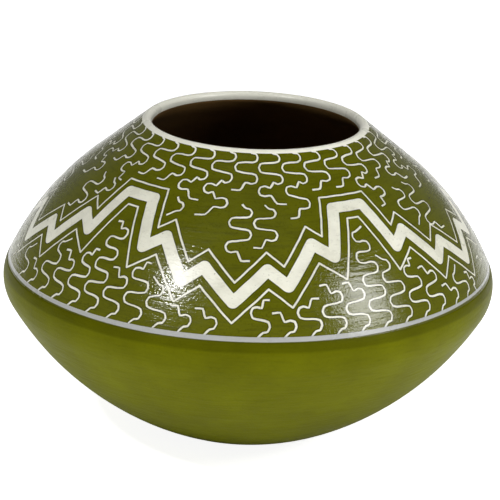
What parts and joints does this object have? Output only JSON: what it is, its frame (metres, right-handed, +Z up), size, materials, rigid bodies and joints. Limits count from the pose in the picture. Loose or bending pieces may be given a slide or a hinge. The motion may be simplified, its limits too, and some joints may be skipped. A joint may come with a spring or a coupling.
{
  "type": "vase",
  "caption": "Squat round earthenware vase with a sharp belly, a wide mouth, a carved olive and white shoulder and a plain burnished bowl.",
  "frame": {"origin": "centre of the flat resting face under the foot", "axes": "+Z up along the pot's axis, -Y towards the front of the carved pattern"},
  "size_m": [0.22, 0.22, 0.1425],
  "materials": {
    "brown_clay": "unglazed dark brown earthenware, smoke darkened, slightly rough",
    "belly_olive": "olive green slip, stone burnished to a soft gloss",
    "white_slip": "chalk white slip, lightly burnished, scratched by the carving tool",
    "shoulder_olive": "olive green slip, burnished, with fine tool marks, carved through to the white"
  },
  "bodies": {
    "root": {"clay_body": "brown_clay", "belly_slip": "belly_olive", "white_slip": "white_slip", "shoulder_slip": "shoulder_olive"}
  },
  "joints": []
}
